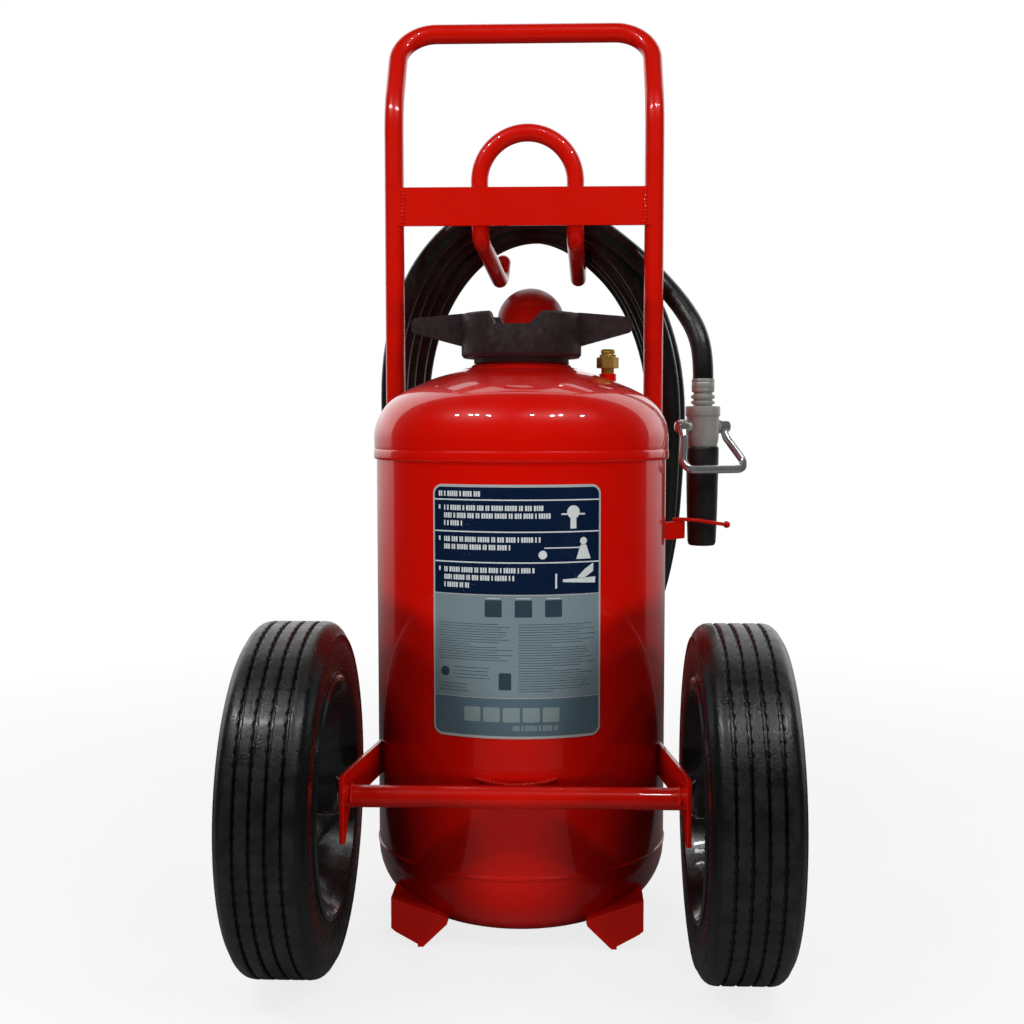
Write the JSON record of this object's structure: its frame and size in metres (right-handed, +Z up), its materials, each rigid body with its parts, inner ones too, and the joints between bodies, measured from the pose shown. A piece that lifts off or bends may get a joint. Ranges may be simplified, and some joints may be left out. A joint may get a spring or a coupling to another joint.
{
  "type": "wheeled fire extinguisher",
  "caption": "Wheeled dry-powder fire extinguisher: upright red tank with winged filling cap, nitrogen cylinder, coiled hose with lever nozzle, loop handle and solid tyres.",
  "frame": {"origin": "on the ground, under the axis of the powder tank", "axes": "+X to the right of a person facing the label, +Y to the rear, +Z up"},
  "size_m": [0.702, 1.1039, 1.2943],
  "materials": {
    "tank_paint": "gloss",
    "frame_paint": "gloss",
    "cylinder_paint": "satin",
    "knob_red": "gloss",
    "cap_black": "satin",
    "seal_rubber": "matte",
    "tyre_rubber": "satin",
    "rim_black": "gloss",
    "bright_steel": "satin",
    "hose_rubber": "satin",
    "nozzle_alloy": "satin",
    "lever_chrome": "polished",
    "barrel_black": "matte",
    "valve_brass": "satin",
    "dial_white": "gloss",
    "hand_black": "satin",
    "gauge_window": "gloss",
    "label_foil": "gloss"
  },
  "bodies": {
    "chassis": {"tank_shell": "tank_paint", "top_head": "tank_paint", "bottom_head": "tank_paint", "neck_collar": "tank_paint", "weld_bosses": "tank_paint", "strap_ears": "tank_paint", "frame_clips": "tank_paint", "axle_saddle": "tank_paint", "handle_frame": "frame_paint", "cross_plate": "frame_paint", "hose_hanger": "frame_paint", "side_plate_left": "frame_paint", "side_plate_right": "frame_paint", "axle_housing": "frame_paint", "foot_left": "frame_paint", "foot_right": "frame_paint", "cylinder_shelf": "frame_paint", "nozzle_bracket": "frame_paint", "nozzle_hook": "frame_paint", "cylinder_strap": "frame_paint", "gas_cylinder": "cylinder_paint", "axle": "bright_steel", "axle_washers": "bright_steel", "cotter_pins": "bright_steel", "strap_bolts": "bright_steel", "relief_spring": "bright_steel", "pickup_tube": "bright_steel", "hose_coil": "hose_rubber", "hose_tail": "hose_rubber", "hose_lead": "hose_rubber", "nozzle_ferrule": "nozzle_alloy", "nozzle_body": "nozzle_alloy", "gauge_case": "lever_chrome", "nozzle_barrel": "barrel_black", "relief_body": "valve_brass", "valve_body": "valve_brass", "regulator": "valve_brass", "gas_inlet": "valve_brass", "gas_line": "valve_brass", "outlet_fitting": "valve_brass", "gauge_dial": "dial_white", "gauge_glass": "gauge_window", "label_plate": "label_foil"},
    "left_wheel": {"tyre_left": "tyre_rubber", "rim_left": "rim_black", "hub_left": "rim_black", "hub_cap_left": "bright_steel"},
    "right_wheel": {"tyre_right": "tyre_rubber", "rim_right": "rim_black", "hub_right": "rim_black", "hub_cap_right": "bright_steel"},
    "cap_seal": {"collar_gasket": "seal_rubber"},
    "cap": {"fill_cap": "cap_black"},
    "knob": {"valve_knob": "knob_red", "valve_spindle": "bright_steel"},
    "relief": {"relief_stem": "valve_brass"},
    "gauge": {"gauge_hand": "hand_black"},
    "lever": {"nozzle_lever": "lever_chrome", "nozzle_ball": "lever_chrome", "pivot_screws": "lever_chrome"}
  },
  "joints": [
    {"name": "left_wheel_spin", "type": "hinge", "parent": "chassis", "child": "left_wheel", "pos_m": [-0.276, -0.233, 0.22], "axis": [1, 0, 0], "continuous": true},
    {"name": "right_wheel_spin", "type": "hinge", "parent": "chassis", "child": "right_wheel", "pos_m": [0.276, -0.233, 0.22], "axis": [1, 0, 0], "continuous": true},
    {"name": "cap_lift", "type": "slide", "parent": "chassis", "child": "cap_seal", "axis": [0, 0, 1], "range_m": [0, 0.0181]},
    {"name": "cap_turn", "type": "hinge", "parent": "cap_seal", "child": "cap", "pos_m": [0, 0, 0.815], "axis": [0, 0, 1], "range_deg": [0, 1080]},
    {"name": "valve_turn", "type": "hinge", "parent": "chassis", "child": "knob", "pos_m": [0.005, 0.307, 0.853], "axis": [0, 0, 1], "range_deg": [0, 1260]},
    {"name": "relief_lift", "type": "slide", "parent": "chassis", "child": "relief", "axis": [0, 0, 1], "range_m": [0, 0.003], "stiffness_N_per_m": 800, "springref_m": -0.004, "deforming": ["relief_spring"]},
    {"name": "gauge_swing", "type": "hinge", "parent": "chassis", "child": "gauge", "pos_m": [0.067, 0.3444, 0.752], "axis": [0, 1, 0], "range_deg": [-100, 170], "stiffness_Nm_per_rad": 0.002},
    {"name": "lever_open", "type": "hinge", "parent": "chassis", "child": "lever", "pos_m": [0.265, 0.1, 0.684], "axis": [-0.8988, -0.4384, 0], "range_deg": [0, 90]}
  ],
  "couplings": [
    {"joint": "cap_lift", "follows": "cap_turn", "m_per_rad": 0.00095493}
  ]
}
